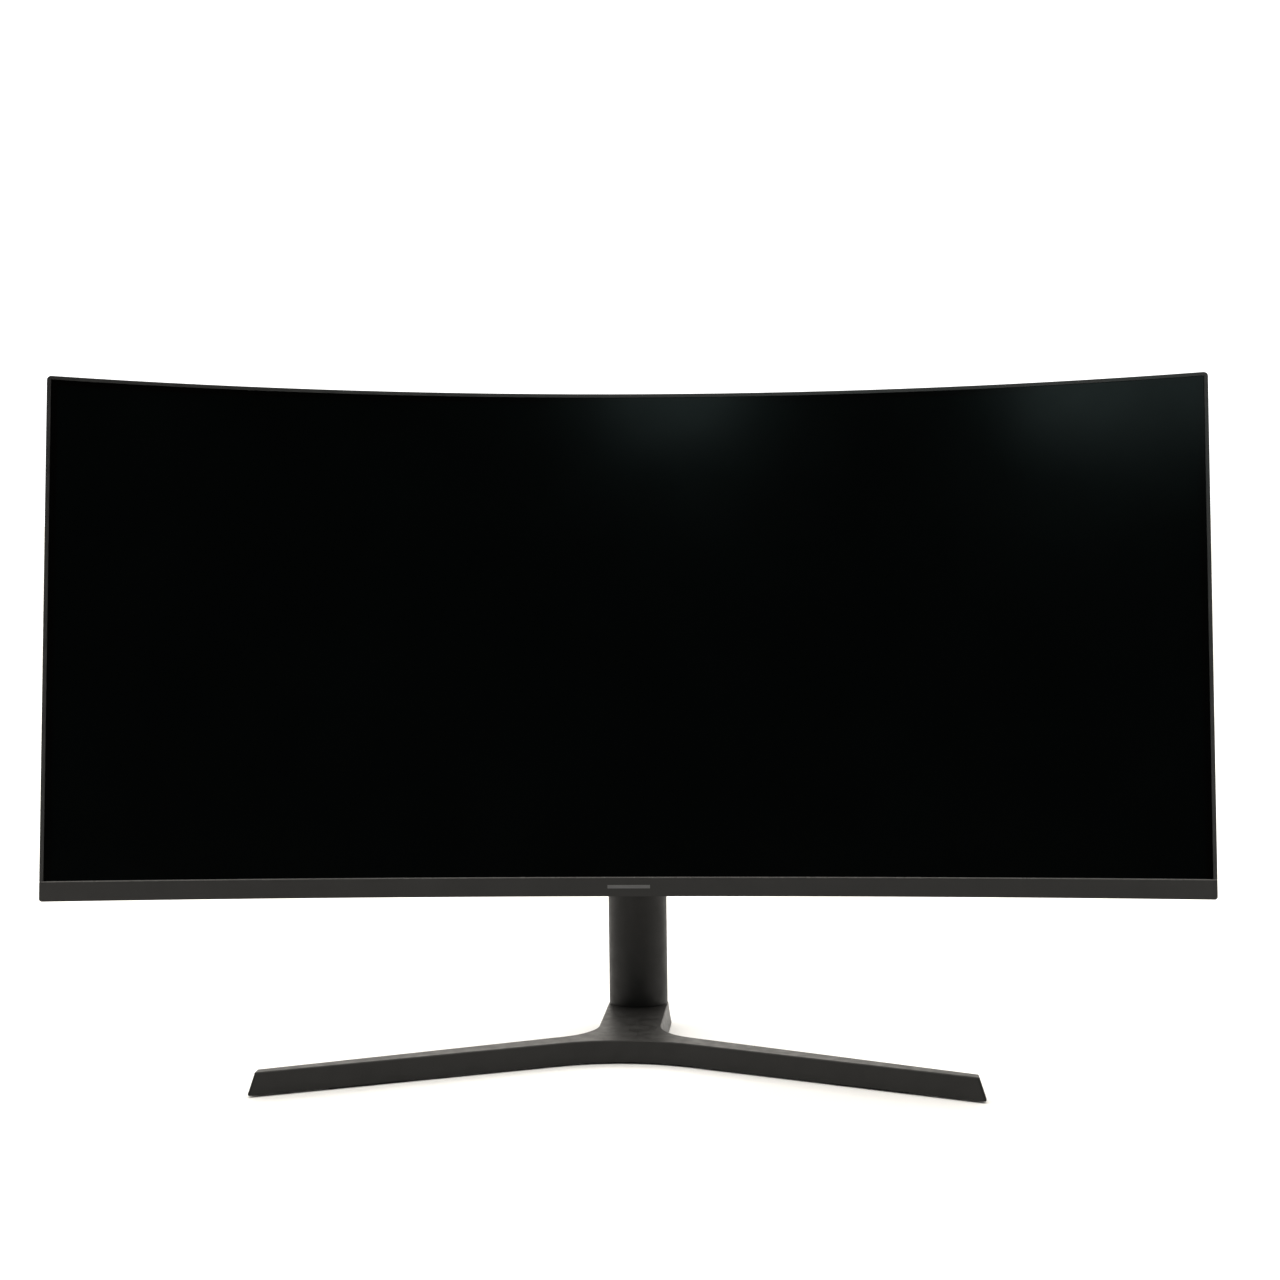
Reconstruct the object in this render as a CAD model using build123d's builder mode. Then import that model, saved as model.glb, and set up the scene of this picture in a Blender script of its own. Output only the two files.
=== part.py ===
from build123d import *
from math import asin, atan, degrees, radians, sqrt, tan
import os

os.makedirs("parts", exist_ok=True)

# ------------------------------------------------------------------ driving dimensions (mm)
# Origin on the desk below the column's axis, +X to the viewer's right, -Y to the viewer, +Z up.

# Screen
SCREEN_W = 791.0  # chord between the outer side faces
SCREEN_H = 357.4
CURVE_R = 1000.0  # radius of the concave front surface
LIP = 2.4  # rim beside and above the glass
CHIN_H = 13.5
CORNER_R = 3.0
BEZEL_D = 11.0  # depths are measured back from the front surface
COVER_D = 17.0
COVER_WALL = 2.0

# Electronics housing on the back of the screen
HUMP_W = 300.0
HUMP_H = 176.0
HUMP_MID = -10.0  # height of its centre above the screen's centre
HUMP_D = 42.0
HUMP_R = 22.0
HUMP_DRAFT = 35.0
HUMP_WALL = 2.2
POCKET = 122.0  # square recess that takes a 100 x 100 mounting plate
POCKET_D = 25.5
MOUNT_PITCH = 100.0  # square four-hole pattern, M4

# Stand
BASE_H = 17.0
BASE_GAP = 1.4  # rim of the base shell above the desk
BASE_WALL = 2.5
TONGUE = 22.5  # half width of the base's tongue, at the top
TONGUE_DRAFT = 8.0
FRONT_V = 115.0  # where the two front edges would cross, in front of the column
FRONT_SLOPE = 0.462
FRONT_FILLET = 111.0
REAR_V = 91.6  # where the two rear edges would cross
REAR_SLOPE = 0.52
REAR_FILLET = 42.5
TIP_X = 241.7
EDGE = 0.6  # bevel round the base's top face
TIP_LEAN = 18.0
TIP_ROUND = 1.4
COLUMN_A = 22.0  # semi-axes of the oval column
COLUMN_B = 19.0
COLUMN_WALL = 2.2
COLUMN_TOP = 396.0
PAD_H = 2.4

# Head: the pose of the screen on the stand, and the point where its axes cross
PAN = 4.0
TILT = 7.6
LEVEL = 0.5
PIVOT_Y = -50.0
PIVOT_Z = 289.5
PIVOT_D = 48.8  # pivot behind the screen's front surface
LIFT = 50.0  # height travel each way
SPOOL_Z = 381.0

RUN = 0.05  # radial clearance of a shaft that turns in a hole
RECESS = 0.9  # depth of a driver recess in a screw head
RECESS_SLOT = 0.85
RECESS_SPAN = 3.2

# ------------------------------------------------------------------ frames and helpers
SWIVEL = Location((0, PIVOT_Y, PIVOT_Z), (0, 0, PAN))
TILTED = SWIVEL * Location((0, 0, 0), (-TILT, 0, 0))
SCREEN = TILTED * Location((0, 0, 0), (0, LEVEL, 0)) * Location((0, -PIVOT_D, 0))
LIFTED = Location((0, PIVOT_Y, PIVOT_Z))
DESK = Location((0, 0, 0))

HALF_W = SCREEN_W / 2
HALF_H = SCREEN_H / 2


def above(frame, height):
    """Plane seen from above: x to the right, y to the back."""
    return Plane(frame * Plane.XY.offset(height).location)


def front(frame, depth):
    """Plane seen by the viewer: x to the right, y up, its normal to the viewer."""
    return Plane(frame * Plane.XZ.offset(-depth).location)


def side(frame, offset):
    """Plane seen from the right: x to the back, y up."""
    return Plane(frame * Plane.YZ.offset(offset).location)


def block(frame, x, y, z):
    """Rectangular block between limits in x, y and z, each (low, high)."""
    with BuildPart(Plane(frame)) as piece:
        with Locations(((x[0] + x[1]) / 2, (y[0] + y[1]) / 2, (z[0] + z[1]) / 2)):
            Box(x[1] - x[0], y[1] - y[0], z[1] - z[0])
    return piece.part


def rod(plane, radius, length, bore=0.0):
    """Round rod, or a ring when it has a bore, standing on a plane."""
    with BuildPart() as piece:
        with BuildSketch(plane):
            Circle(radius)
            if bore:
                Circle(bore, mode=Mode.SUBTRACT)
        extrude(amount=length)
    return piece.part


def cross_recess(plane):
    """Cross-shaped driver recess, to be cut into a screw head from a plane."""
    with BuildPart() as piece:
        with BuildSketch(plane):
            Rectangle(RECESS_SPAN, RECESS_SLOT)
            Rectangle(RECESS_SLOT, RECESS_SPAN)
        extrude(amount=RECESS)
    return piece.part


def curved_slab(near, far, half_w, low, high):
    """Sheet that follows the screen's curve between two depths and two heights."""
    near_r = CURVE_R + near
    far_r = CURVE_R + far
    near_y = sqrt(near_r**2 - half_w**2) - CURVE_R
    far_y = sqrt(far_r**2 - half_w**2) - CURVE_R
    with BuildPart() as piece:
        with BuildSketch(above(SCREEN, low)):
            with BuildLine():
                ThreePointArc((-half_w, near_y), (0, near), (half_w, near_y))
                Line((half_w, near_y), (half_w, far_y))
                ThreePointArc((half_w, far_y), (0, far), (-half_w, far_y))
                Line((-half_w, far_y), (-half_w, near_y))
            make_face()
        extrude(amount=high - low)
    return piece.part


def along_curve(x):
    """Frame on the curved surface at a sideways place, with y square to the surface."""
    turn = degrees(asin(x / CURVE_R))
    return (
        SCREEN
        * Location((0, -CURVE_R, 0), (0, 0, -turn))
        * Location((0, CURVE_R, 0))
    )


def save(piece, name):
    """Label a piece and write it."""
    piece.label = name
    export_step(piece, f"parts/{name}.step")


# ------------------------------------------------------------------ base
def base_outline(height, inset=0.0, tip_inset=0.0):
    """Outline of the V and its tongue at a height, drawn in from the outer skin by an inset."""
    flare = (BASE_H - height) * tan(radians(TONGUE_DRAFT)) - inset
    half = TONGUE + flare
    front_y = -FRONT_V + inset * sqrt(1 + FRONT_SLOPE**2)
    rear_y = -REAR_V + flare * sqrt(1 + REAR_SLOPE**2)
    tip = TIP_X + (BASE_H - height) * tan(radians(TIP_LEAN)) - tip_inset
    with BuildSketch(Plane.XY.offset(height)) as outline:
        with BuildLine():
            Line((0, front_y), (tip, front_y - FRONT_SLOPE * tip))
            Line((tip, front_y - FRONT_SLOPE * tip), (tip, rear_y - REAR_SLOPE * tip))
            Line((tip, rear_y - REAR_SLOPE * tip), (half, rear_y - REAR_SLOPE * half))
            Line((half, rear_y - REAR_SLOPE * half), (half, 0))
            ThreePointArc((half, 0), (0, half), (-half, 0))
            Line((-half, 0), (-half, rear_y - REAR_SLOPE * half))
            Line((-half, rear_y - REAR_SLOPE * half), (-tip, rear_y - REAR_SLOPE * tip))
            Line((-tip, rear_y - REAR_SLOPE * tip), (-tip, front_y - FRONT_SLOPE * tip))
            Line((-tip, front_y - FRONT_SLOPE * tip), (0, front_y))
        make_face()
        middle = (0, front_y, height)
        fillet(outline.vertices().sort_by_distance(middle)[0], FRONT_FILLET + inset)
        for way in (-1, 1):
            inner = (way * half, rear_y - REAR_SLOPE * half, height)
            fillet(outline.vertices().sort_by_distance(inner)[0], REAR_FILLET + inset)
    return outline.sketch


def leg_middle(x):
    """The y of a leg's middle line at a sideways place."""
    return -(FRONT_V + REAR_V) / 2 - (FRONT_SLOPE + REAR_SLOPE) / 2 * abs(x)


BASE_SCREWS = [(0, -34)] + [(way * x, leg_middle(x)) for x in (62, 125) for way in (-1, 1)]
CORE_LOW = PAD_H
CORE_TOP = 6.4
CEILING = BASE_H - BASE_WALL

with BuildPart() as base_shell:
    loft([base_outline(BASE_GAP), base_outline(BASE_H - EDGE)], ruled=True)
    tips = base_shell.edges().filter_by(lambda edge: abs(edge.center().X) > TIP_X)
    fillet(tips.filter_by(lambda edge: edge.center().Z < BASE_H - 2 * EDGE), TIP_ROUND)
    loft([base_outline(BASE_H - EDGE), base_outline(BASE_H, EDGE, EDGE)], ruled=True)
    loft(
        [base_outline(BASE_GAP, BASE_WALL, 22), base_outline(CEILING, BASE_WALL, 22)],
        ruled=True,
        mode=Mode.SUBTRACT,
    )
    with BuildSketch(Plane.XY.offset(CORE_TOP + 0.1)):
        with Locations(BASE_SCREWS):
            Circle(3.2)
    extrude(amount=CEILING - CORE_TOP)
    with BuildSketch(Plane.XY.offset(CORE_TOP)):
        with Locations(BASE_SCREWS):
            Circle(1.25)
    extrude(amount=7, mode=Mode.SUBTRACT)
    with BuildSketch(Plane.XY.offset(CEILING - 1)):
        Ellipse(COLUMN_A - COLUMN_WALL - 0.1, COLUMN_B - COLUMN_WALL - 0.1)
    extrude(amount=BASE_WALL + 2, mode=Mode.SUBTRACT)
save(base_shell.part, "base_shell")

with BuildPart() as base_core:
    extrude(base_outline(CORE_TOP, BASE_WALL + 0.4, 26), amount=CORE_LOW - CORE_TOP)
    with BuildSketch(Plane.XY.offset(CORE_LOW)):
        with Locations(BASE_SCREWS):
            Circle(1.5)
        Circle(9.6)
    extrude(amount=CORE_TOP, mode=Mode.SUBTRACT)
    with BuildSketch(Plane.XY.offset(CORE_LOW)):
        with Locations(BASE_SCREWS):
            Circle(2.9)
    extrude(amount=1.7, mode=Mode.SUBTRACT)
save(base_core.part, "base_core")

with BuildPart() as base_screws:
    for x, y in BASE_SCREWS:
        add(rod(Plane((x, y, CORE_LOW + 0.1)), 2.7, 1.5))
        add(rod(Plane((x, y, CORE_LOW + 1.6)), 1.2, 9))
        recess = cross_recess(Plane((x, y, CORE_LOW + 0.1)))
        add(recess, mode=Mode.SUBTRACT)
save(base_screws.part, "base_screws")

with BuildPart() as foot_pads:
    with BuildSketch():
        Circle(19.0)
        Circle(11.5, mode=Mode.SUBTRACT)
        with Locations((0, -118)):
            RectangleRounded(26, 6, 2)
        for way in (-1, 1):
            with Locations((way * 172, leg_middle(172))):
                lean = degrees(atan((FRONT_SLOPE + REAR_SLOPE) / 2))
                SlotOverall(56, 3.4, rotation=-way * lean)
    extrude(amount=PAD_H)
save(foot_pads.part, "foot_pads")

# ------------------------------------------------------------------ column
SOCKET_LOW = CORE_TOP + 0.1
FOOT_LOW = CEILING
FOOT_TOP = 44.0
DOWEL_X = 9.0
THREAD_R = 3.0

with BuildPart() as foot_socket:
    with BuildSketch(Plane.XY.offset(SOCKET_LOW)):
        Circle(19.0)
        Circle(THREAD_R + 0.2, mode=Mode.SUBTRACT)
        with Locations((-DOWEL_X, 0), (DOWEL_X, 0)):
            Circle(2.0, mode=Mode.SUBTRACT)
    extrude(amount=CEILING - 0.1 - SOCKET_LOW)
save(foot_socket.part, "foot_socket")

with BuildPart() as column_foot:
    with BuildSketch(Plane.XY.offset(FOOT_LOW)):
        Ellipse(COLUMN_A - COLUMN_WALL - 0.2, COLUMN_B - COLUMN_WALL - 0.2)
        Circle(THREAD_R, mode=Mode.SUBTRACT)
    extrude(amount=FOOT_TOP - FOOT_LOW)
    with BuildSketch(Plane.XY.offset(FOOT_LOW)):
        with Locations((-DOWEL_X, 0), (DOWEL_X, 0)):
            Circle(1.95)
    extrude(amount=SOCKET_LOW + 0.1 - FOOT_LOW)
save(column_foot.part, "column_foot")

with BuildPart() as thumb_screw:
    with BuildSketch(Plane.XY.offset(2.9)):
        Circle(9.0)
        with PolarLocations(9.4, 18):
            Circle(0.9, mode=Mode.SUBTRACT)
    extrude(amount=3.2)
    with BuildSketch(Plane.XY.offset(2.9)):
        Rectangle(12, 1.6)
    extrude(amount=1.4, mode=Mode.SUBTRACT)
    add(rod(Plane.XY.offset(6.1), THREAD_R - RUN, 28))
save(thumb_screw.part, "thumb_screw")

SLOT_LOW = PIVOT_Z - LIFT - 28
SLOT_TOP = PIVOT_Z + LIFT + 28

with BuildPart() as column_tube:
    with BuildSketch(Plane.XY.offset(BASE_H + 0.05)):
        Ellipse(COLUMN_A, COLUMN_B)
        Ellipse(COLUMN_A - COLUMN_WALL, COLUMN_B - COLUMN_WALL, mode=Mode.SUBTRACT)
    extrude(amount=COLUMN_TOP - BASE_H)
    with BuildSketch(front(DESK, -COLUMN_B - 1)):
        with Locations((0, (SLOT_LOW + SLOT_TOP) / 2)):
            SlotOverall(SLOT_TOP - SLOT_LOW + 14, 19.2, rotation=90)
    extrude(amount=-10, mode=Mode.SUBTRACT)
save(column_tube.part, "column_tube")

with BuildPart() as column_cap:
    with BuildSketch(Plane.XY.offset(COLUMN_TOP + 0.1)):
        Ellipse(COLUMN_A, COLUMN_B)
    extrude(amount=5)
    fillet(column_cap.faces().sort_by(Axis.Z)[-1].edges(), 3)
    with BuildSketch(Plane.XY.offset(COLUMN_TOP - 4)):
        Ellipse(COLUMN_A - COLUMN_WALL - 0.2, COLUMN_B - COLUMN_WALL - 0.2)
        Ellipse(COLUMN_A - COLUMN_WALL - 2, COLUMN_B - COLUMN_WALL - 2, mode=Mode.SUBTRACT)
    extrude(amount=4.2)
save(column_cap.part, "column_cap")

CLIP_Z = 118.0
CLIP_Y = 33.0
CLIP_R = 11.0

with BuildPart() as cable_clip:
    with BuildSketch(Plane.XY.offset(CLIP_Z)):
        with Locations((0, CLIP_Y)):
            Circle(CLIP_R + 2.4)
        with Locations((0, (COLUMN_B + CLIP_Y) / 2)):
            Rectangle(16, CLIP_Y - COLUMN_B)
        with Locations((0, CLIP_Y)):
            Circle(CLIP_R, mode=Mode.SUBTRACT)
        with Locations((0, CLIP_Y + CLIP_R + 2)):
            Rectangle(9, 12, mode=Mode.SUBTRACT)
        Ellipse(COLUMN_A + 0.1, COLUMN_B + 0.1, mode=Mode.SUBTRACT)
    extrude(amount=16)
save(cable_clip.part, "cable_clip")

# ------------------------------------------------------------------ lift
RAIL_X = 12.7
RAIL_WALL = 1.5
RAIL_Y = (-3.5, 12.0)
RAIL_TOP = SPOOL_Z + 10
LIP_X = 9.2

with BuildPart() as lift_rail:
    with BuildSketch(Plane.XY.offset(FOOT_TOP + 0.1)):
        with Locations((0, (RAIL_Y[0] + RAIL_Y[1]) / 2)):
            Rectangle(2 * RAIL_X, RAIL_Y[1] - RAIL_Y[0])
            Rectangle(
                2 * (RAIL_X - RAIL_WALL), RAIL_Y[1] - RAIL_Y[0] - 2 * RAIL_WALL, mode=Mode.SUBTRACT
            )
        with Locations((0, RAIL_Y[0])):
            Rectangle(2 * LIP_X, 4 * RAIL_WALL, mode=Mode.SUBTRACT)
    extrude(amount=RAIL_TOP - FOOT_TOP)
    add(rod(side(Location((0, 0, SPOOL_Z)), -20), 2.03, 40), mode=Mode.SUBTRACT)
save(lift_rail.part, "lift_rail")

SPOOL = Location((0, 0, SPOOL_Z))
COIL_R = 8.6

with BuildPart() as spring_axle:
    add(rod(side(SPOOL, -13.2), 2.0, 26.4))
save(spring_axle.part, "spring_axle")

with BuildPart() as spring_hub:
    add(rod(side(SPOOL, -7.4), 4.4, 14.8))
    for way in (-1, 1):
        add(rod(side(SPOOL, way * 7.0 - 0.4), 6.8, 0.8))
    add(rod(side(SPOOL, -8), 2.0 + RUN, 16), mode=Mode.SUBTRACT)
save(spring_hub.part, "spring_hub")

with BuildPart() as spring_coil:
    add(rod(side(SPOOL, -6.0), COIL_R, 12.0, bore=4.45))
save(spring_coil.part, "spring_coil")

CARRIAGE_Z = 28.0
CARRIAGE_Y = (-1.5, 10.0)
STEM_Z = 26.0
SCREW_X = 4.5
SCREW_Z = 21.0

with BuildPart() as spring_band:
    add(block(DESK, (-5.5, 5.5), (9.2, 9.5), (PIVOT_Z + CARRIAGE_Z, SPOOL_Z)))
save(spring_band.part, "spring_band")

BRACKET_BACK = -22.1
BRACKET_FRONT = -26.0
BOLT_POINTS = [(x, z) for x in (-SCREW_X, SCREW_X) for z in (-SCREW_Z, SCREW_Z)]

with BuildPart() as lift_carriage:
    add(block(Location((0, 0, PIVOT_Z)), (-10.5, 10.5), CARRIAGE_Y, (-CARRIAGE_Z, CARRIAGE_Z)))
    add(block(Location((0, 0, PIVOT_Z)), (-8.6, 8.6), (-22.0, 0), (-STEM_Z, STEM_Z)))
    with BuildSketch(front(Location((0, 0, PIVOT_Z)), -22.0)):
        with Locations(BOLT_POINTS):
            Circle(1.6)
    extrude(amount=-14, mode=Mode.SUBTRACT)
save(lift_carriage.part, "lift_carriage")

with BuildPart() as glide_pads:
    for way in (-1, 1):
        for z in (-18, 18):
            place = Location((way * 10.75, 4, PIVOT_Z + z))
            add(block(place, (-0.25, 0.25), (-4, 4), (-6, 6)))
            add(block(Location((way * 5, 10.1, PIVOT_Z + z)), (-3, 3), (-0.1, 0.1), (-6, 6)))
save(glide_pads.part, "glide_pads")

EAR_LOW = 13.4
EAR_T = 4.0
PIN_R = 2.98

with BuildPart() as lift_bracket:
    with BuildSketch(front(Location((0, 0, PIVOT_Z)), BRACKET_BACK)):
        RectangleRounded(40, 60, 6)
    extrude(amount=BRACKET_BACK - BRACKET_FRONT)
    for low in (EAR_LOW, -EAR_LOW - EAR_T):
        with BuildSketch(above(LIFTED, low)):
            Circle(7)
            with BuildLine():
                Polyline((-7, 0), (-15, 25), (15, 25), (7, 0), close=True)
            make_face()
        extrude(amount=EAR_T)
    add(rod(above(LIFTED, -20), PIN_R + 0.02, 40), mode=Mode.SUBTRACT)
    with BuildSketch(front(Location((0, 0, PIVOT_Z)), BRACKET_BACK + 1)):
        with Locations(BOLT_POINTS):
            Circle(1.8)
    extrude(amount=6, mode=Mode.SUBTRACT)
save(lift_bracket.part, "lift_bracket")

HEAD_H = 2.2
KEY_R = 1.45  # hexagon socket
KEY_DEPTH = 1.2

with BuildPart() as bracket_screws:
    for x, z in BOLT_POINTS:
        at = Location((x, 0, PIVOT_Z + z))
        add(rod(front(at, BRACKET_FRONT), 2.8, HEAD_H))
        add(rod(front(at, -12), 1.55, 14.2))
        with BuildSketch(front(at, BRACKET_FRONT - HEAD_H + KEY_DEPTH)):
            RegularPolygon(KEY_R, 6)
        extrude(amount=KEY_DEPTH + 0.1, mode=Mode.SUBTRACT)
save(bracket_screws.part, "bracket_screws")

with BuildPart() as swivel_pin:
    add(rod(above(LIFTED, -18.6), PIN_R, 36.2))
    add(rod(above(LIFTED, 17.5), 5, 2))
    add(rod(above(LIFTED, -19.4), 4.6, 1.2))
save(swivel_pin.part, "swivel_pin")

# ------------------------------------------------------------------ swivel and tilt
BLOCK_X = 14.0
BLOCK_Z = 12.0
SHAFT_R = 3.48
CHEEK_IN = 16.4
CHEEK_OUT = 20.4

with BuildPart() as swivel_block:
    add(block(SWIVEL, (-BLOCK_X, BLOCK_X), (-7.5, 7.5), (-BLOCK_Z, BLOCK_Z)))
    upright = swivel_block.edges().filter_by(Axis.Z)
    fillet(upright, 2)
    add(rod(above(SWIVEL, -15), PIN_R + RUN, 30), mode=Mode.SUBTRACT)
    for start in (-BLOCK_X - 1, 5):
        add(rod(side(SWIVEL, start), SHAFT_R + 0.02, BLOCK_X - 4), mode=Mode.SUBTRACT)
save(swivel_block.part, "swivel_block")

with BuildPart() as friction_washers:
    for low in (BLOCK_Z, -BLOCK_Z - 1.1):
        add(rod(above(SWIVEL, low), 6.4, 1.1, bore=3.4))
    for start in (BLOCK_X, -BLOCK_X - 2.1):
        add(rod(side(SWIVEL, start), 6.4, 2.1, bore=3.7))
save(friction_washers.part, "friction_washers")

with BuildPart() as tilt_shafts:
    for start in (5.2, -24.6):
        add(rod(side(SWIVEL, start), SHAFT_R, 19.4))
save(tilt_shafts.part, "tilt_shafts")

with BuildPart() as tilt_nuts:
    for start in (CHEEK_OUT + 0.3, -CHEEK_OUT - 3.9):
        with BuildSketch(side(SWIVEL, start)):
            RegularPolygon(5.2, 6)
            Circle(SHAFT_R + 0.02, mode=Mode.SUBTRACT)
        extrude(amount=3.6)
save(tilt_nuts.part, "tilt_nuts")

WEB_NEAR = 29.2 - PIVOT_D
WEB_FAR = 33.2 - PIVOT_D
LEVEL_R = 6.0

with BuildPart() as tilt_bracket:
    for start in (CHEEK_IN, -CHEEK_OUT):
        with BuildSketch(side(TILTED, start)):
            Circle(9)
            with BuildLine():
                Polyline((WEB_NEAR, -14), (WEB_NEAR, 14), (WEB_FAR, 14), (-4, 9), (0, 9),
                         (0, -9), (-4, -9), (WEB_FAR, -14), close=True)
            make_face()
        extrude(amount=CHEEK_OUT - CHEEK_IN)
    with BuildSketch(front(TILTED, WEB_FAR)):
        RectangleRounded(2 * CHEEK_OUT, 44, 5)
    extrude(amount=WEB_FAR - WEB_NEAR)
    add(rod(front(TILTED, WEB_FAR + 1), LEVEL_R + RUN, 8), mode=Mode.SUBTRACT)
    add(rod(side(TILTED, -30), SHAFT_R + 0.07, 60), mode=Mode.SUBTRACT)
save(tilt_bracket.part, "tilt_bracket")

# ------------------------------------------------------------------ head plate and release
PLATE_NEAR = POCKET_D + 0.1
PLATE_FAR = PLATE_NEAR + 3.0
PLATE_Z = (-58.0, 35.0)
HOOK_X = (18.0, 30.0)

with BuildPart() as head_plate:
    with BuildSketch(front(SCREEN, PLATE_FAR)):
        with Locations((0, (PLATE_Z[0] + PLATE_Z[1]) / 2)):
            RectangleRounded(84, PLATE_Z[1] - PLATE_Z[0], 6)
    extrude(amount=PLATE_FAR - PLATE_NEAR)
    for way in (-1, 1):
        span = tuple(sorted((way * HOOK_X[0], way * HOOK_X[1])))
        add(block(SCREEN, span, (19.8, PLATE_FAR), (24, 28)))
        add(block(SCREEN, span, (19.8, 21.8), (24, 35)))
    add(rod(front(SCREEN, PLATE_FAR + 1), LEVEL_R, 5), mode=Mode.SUBTRACT)
save(head_plate.part, "head_plate")

with BuildPart() as level_pin:
    add(rod(front(SCREEN, 33.5), LEVEL_R - 0.02, 33.5 - PLATE_NEAR))
    add(rod(front(SCREEN, 35.4), 8.0, 2.0))
save(level_pin.part, "level_pin")

BUTTON_Z = (-78.0, -66.0)
RELEASE_TRAVEL = 4.6

with BuildPart() as release_button:
    with BuildSketch(front(SCREEN, HUMP_D + 1.4)):
        with Locations((0, sum(BUTTON_Z) / 2)):
            RectangleRounded(26, 12, 2)
    extrude(amount=4)
    for rib in range(3):
        height = BUTTON_Z[0] + 3 + 3 * rib
        add(block(SCREEN, (-9, 9), (HUMP_D + 1.2, HUMP_D + 2.0), (height - 0.5, height + 0.5)))
    add(block(SCREEN, (-12, 12), (30, 41), (-76, -68)))
    add(block(SCREEN, (-8, 8), (28.9, 31.4), (-72, -54)))
save(release_button.part, "release_button")

SEAT_TOP = -93.5

with BuildPart() as latch_spring:
    add(rod(above(SCREEN * Location((0, 35, 0)), SEAT_TOP + 0.1), 3.0, 17.3, bore=2.2))
save(latch_spring.part, "latch_spring")

# ------------------------------------------------------------------ front of the display
CHIN_TOP = -HALF_H + CHIN_H
CHIN_D = 3.0

with BuildPart() as front_bezel:
    add(curved_slab(0, BEZEL_D, HALF_W, -HALF_H, HALF_H))
    corners = front_bezel.edges().filter_by(Axis((0, 0, 0), Plane(SCREEN).y_dir))
    fillet(corners, CORNER_R)
    add(curved_slab(-5, 20, HALF_W - LIP, CHIN_TOP, HALF_H - LIP), mode=Mode.SUBTRACT)
    add(curved_slab(-5, CHIN_D, HALF_W + 5, -HALF_H - 5, CHIN_TOP), mode=Mode.SUBTRACT)
save(front_bezel.part, "front_bezel")

with BuildPart() as chin_trim:
    add(curved_slab(0, CHIN_D - 0.1, HALF_W, -HALF_H, CHIN_TOP - 0.1))
    ends = chin_trim.edges().filter_by(Axis((0, 0, 0), Plane(SCREEN).y_dir))
    fillet(ends.group_by(Axis.Z)[0] + ends.group_by(Axis.Z)[1], 2.0)
    arcs = chin_trim.edges().filter_by(GeomType.CIRCLE)
    front_arcs = arcs.filter_by(lambda edge: abs(edge.radius - CURVE_R) < 0.01)
    chamfer(front_arcs.sort_by(Axis.Z)[-1], 0.7)
save(chin_trim.part, "chin_trim")

with BuildPart() as chin_badge:
    add(curved_slab(-0.25, -0.05, 15, -HALF_H + 5.6, -HALF_H + 8.0))
save(chin_badge.part, "chin_badge")

GLASS_W = HALF_W - LIP - 0.2
GLASS_TOP = HALF_H - LIP - 0.2
GLASS_LOW = CHIN_TOP + 0.2

with BuildPart() as lcd_glass:
    add(curved_slab(0.9, 2.3, GLASS_W, GLASS_LOW, GLASS_TOP))
save(lcd_glass.part, "lcd_glass")

with BuildPart() as optical_sheets:
    add(curved_slab(2.5, 3.6, GLASS_W - 2, GLASS_LOW + 2, GLASS_TOP - 2))
save(optical_sheets.part, "optical_sheets")

with BuildPart() as light_guide:
    add(curved_slab(3.8, 6.8, GLASS_W - 2.5, GLASS_LOW + 5, GLASS_TOP - 2.5))
save(light_guide.part, "light_guide")

with BuildPart() as reflector_sheet:
    add(curved_slab(7.0, 7.3, GLASS_W - 2.5, GLASS_LOW + 5, GLASS_TOP - 2.5))
save(reflector_sheet.part, "reflector_sheet")

with BuildPart() as led_strip:
    add(curved_slab(3.8, 7.0, GLASS_W - 6, GLASS_LOW + 2, GLASS_LOW + 3))
save(led_strip.part, "led_strip")

LED_COUNT = 48

with BuildPart() as led_packages:
    for index in range(LED_COUNT):
        x = (index + 0.5) / LED_COUNT * 2 * (GLASS_W - 12) - (GLASS_W - 12)
        add(block(along_curve(x), (-2, 2), (4.2, 6.4), (GLASS_LOW + 3.1, GLASS_LOW + 4.5)))
save(led_packages.part, "led_packages")

with BuildPart() as mid_frame:
    add(curved_slab(2.4, 8.4, GLASS_W, GLASS_LOW, GLASS_TOP))
    add(
        curved_slab(0, 20, GLASS_W - 1.6, GLASS_LOW + 1.6, GLASS_TOP - 1.6),
        mode=Mode.SUBTRACT,
    )
save(mid_frame.part, "mid_frame")

SCREW_PLACES = [(x, z) for x in (-330, -200, 200, 330) for z in (-158, 158)]

with BuildPart() as panel_chassis:
    add(curved_slab(8.5, 9.5, GLASS_W, GLASS_LOW, GLASS_TOP))
    for x, z in SCREW_PLACES:
        at = along_curve(x) * Location((0, 0, z))
        add(rod(front(at, 12), 1.5, 6), mode=Mode.SUBTRACT)
save(panel_chassis.part, "panel_chassis")

# ------------------------------------------------------------------ rear cover
JOY_X = 290.0
JOY_Z = -148.0
JOY = along_curve(JOY_X) * Location((0, 0, JOY_Z))
VIDEO_X = (-128.0, -106.0)
WIDE_VIDEO_X = -84.0
SOCKET_Z = -52.0
AUDIO = (-84.0, -34.0)
INLET = (86.0, -52.0)
HALF_PITCH = MOUNT_PITCH / 2
MOUNT_POINTS = [(x, z) for x in (-HALF_PITCH, HALF_PITCH) for z in (-HALF_PITCH, HALF_PITCH)]


def housing(depth, inset):
    """Drafted block of the electronics housing, its back at a depth, drawn in by an inset."""
    with BuildPart() as piece:
        with BuildSketch(front(SCREEN, depth)):
            with Locations((0, HUMP_MID)):
                RectangleRounded(HUMP_W - 2 * inset, HUMP_H - 2 * inset, HUMP_R - inset)
        extrude(amount=depth + 20, taper=-HUMP_DRAFT)
    return piece.part


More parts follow.
